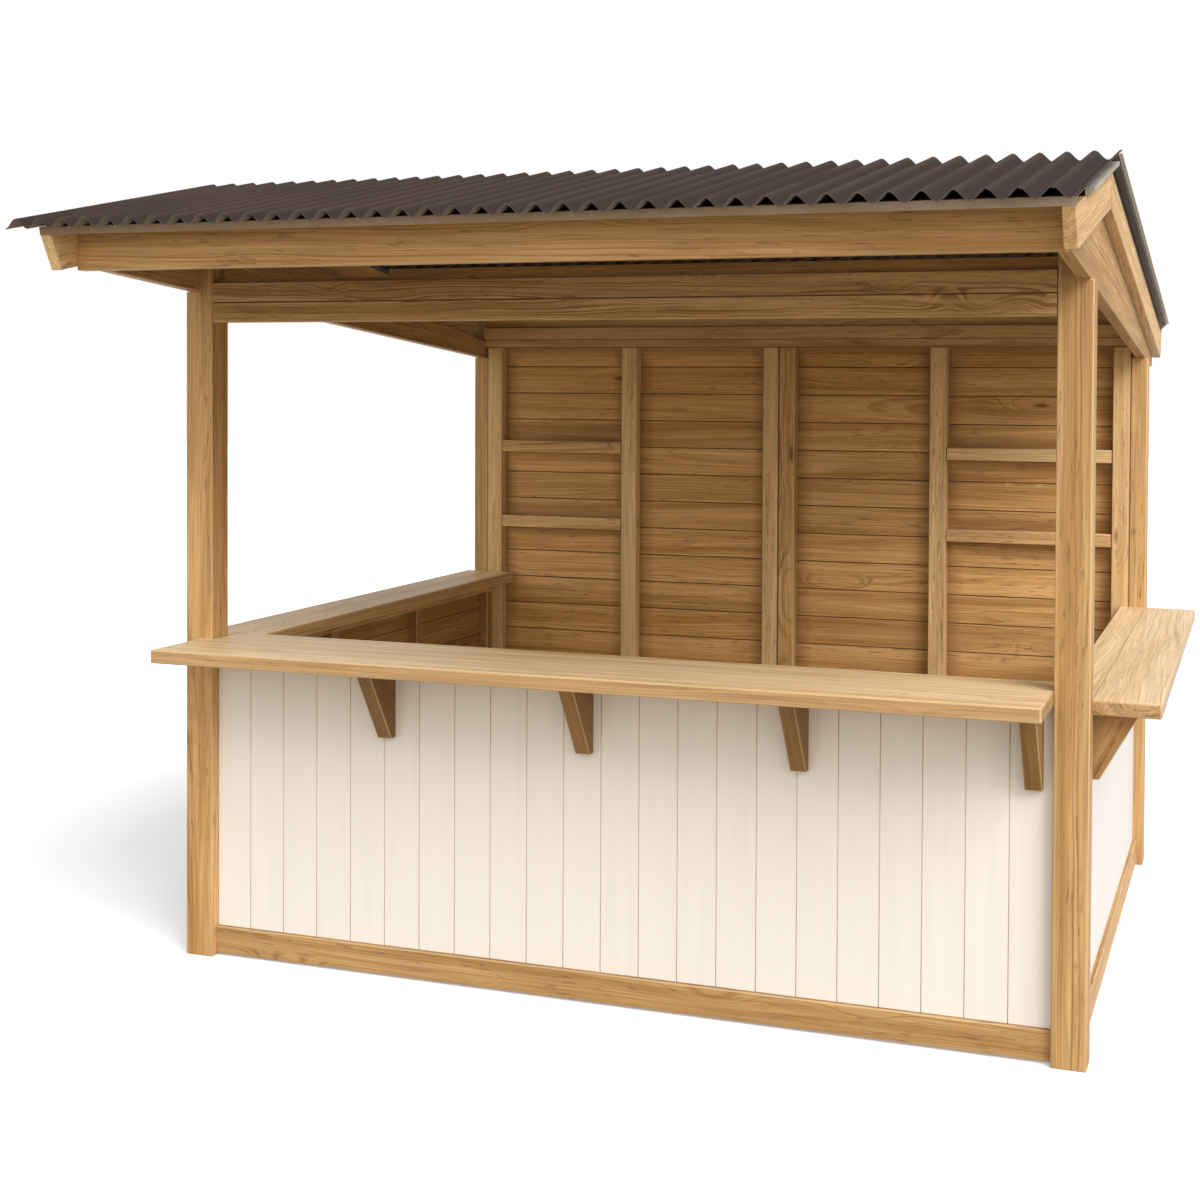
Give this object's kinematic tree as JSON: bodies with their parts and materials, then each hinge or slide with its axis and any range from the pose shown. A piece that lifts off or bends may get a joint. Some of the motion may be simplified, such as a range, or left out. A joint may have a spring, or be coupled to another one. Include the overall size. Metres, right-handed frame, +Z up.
{
  "type": "wooden market stall",
  "caption": "Open timber market stall with boarded low walls, serving counters on brackets, a boarded back wall with ledges, and a low gable roof of corrugated sheet.",
  "frame": {"origin": "on the ground, under the middle of the stall's outline box", "axes": "+X to the right seen from the serving front, +Y from the front to the back wall, +Z up"},
  "size_m": [3.245, 3.7078, 2.6231],
  "materials": {
    "frame_wood": "oiled, clear grain",
    "wall_boards": "oiled boards",
    "counter_wood": "oiled, smooth",
    "painted_boards": "cream paint, satin",
    "roof_sheet": "dark brown bitumen fibre sheet, matt",
    "metal_trim": "dull galvanised"
  },
  "bodies": {
    "root": {"front_left_post": "frame_wood", "front_right_post": "frame_wood", "back_left_post": "frame_wood", "back_right_post": "frame_wood", "left_side_beam": "frame_wood", "right_side_beam": "frame_wood", "front_header": "frame_wood", "front_plate": "frame_wood", "back_top_rail": "frame_wood", "back_plate": "frame_wood", "back_header": "frame_wood", "front_base_rail": "frame_wood", "right_base_rail": "frame_wood", "left_base_rail": "frame_wood", "back_base_rail": "frame_wood", "low_wall_top_rails": "frame_wood", "front_studs": "frame_wood", "right_studs": "frame_wood", "left_studs": "frame_wood", "back_left_studs": "frame_wood", "back_right_studs": "frame_wood", "front_brackets": "frame_wood", "right_brackets": "frame_wood", "left_ledges": "frame_wood", "right_ledges": "frame_wood", "front_barge_boards": "frame_wood", "back_barge_boards": "frame_wood", "front_rafters": "frame_wood", "back_rafters": "frame_wood", "ridge_beam": "frame_wood", "purlins": "frame_wood", "front_fascia": "frame_wood", "back_fascia": "frame_wood", "front_boards": "painted_boards", "right_boards": "painted_boards", "left_boards": "wall_boards", "back_left_boards": "wall_boards", "back_right_boards": "wall_boards", "front_counter": "counter_wood", "right_counter": "counter_wood", "left_cap": "counter_wood", "eave_drip_edges": "metal_trim", "gable_flashings": "metal_trim", "front_roof_sheet": "roof_sheet", "back_roof_sheet": "roof_sheet"}
  },
  "joints": []
}
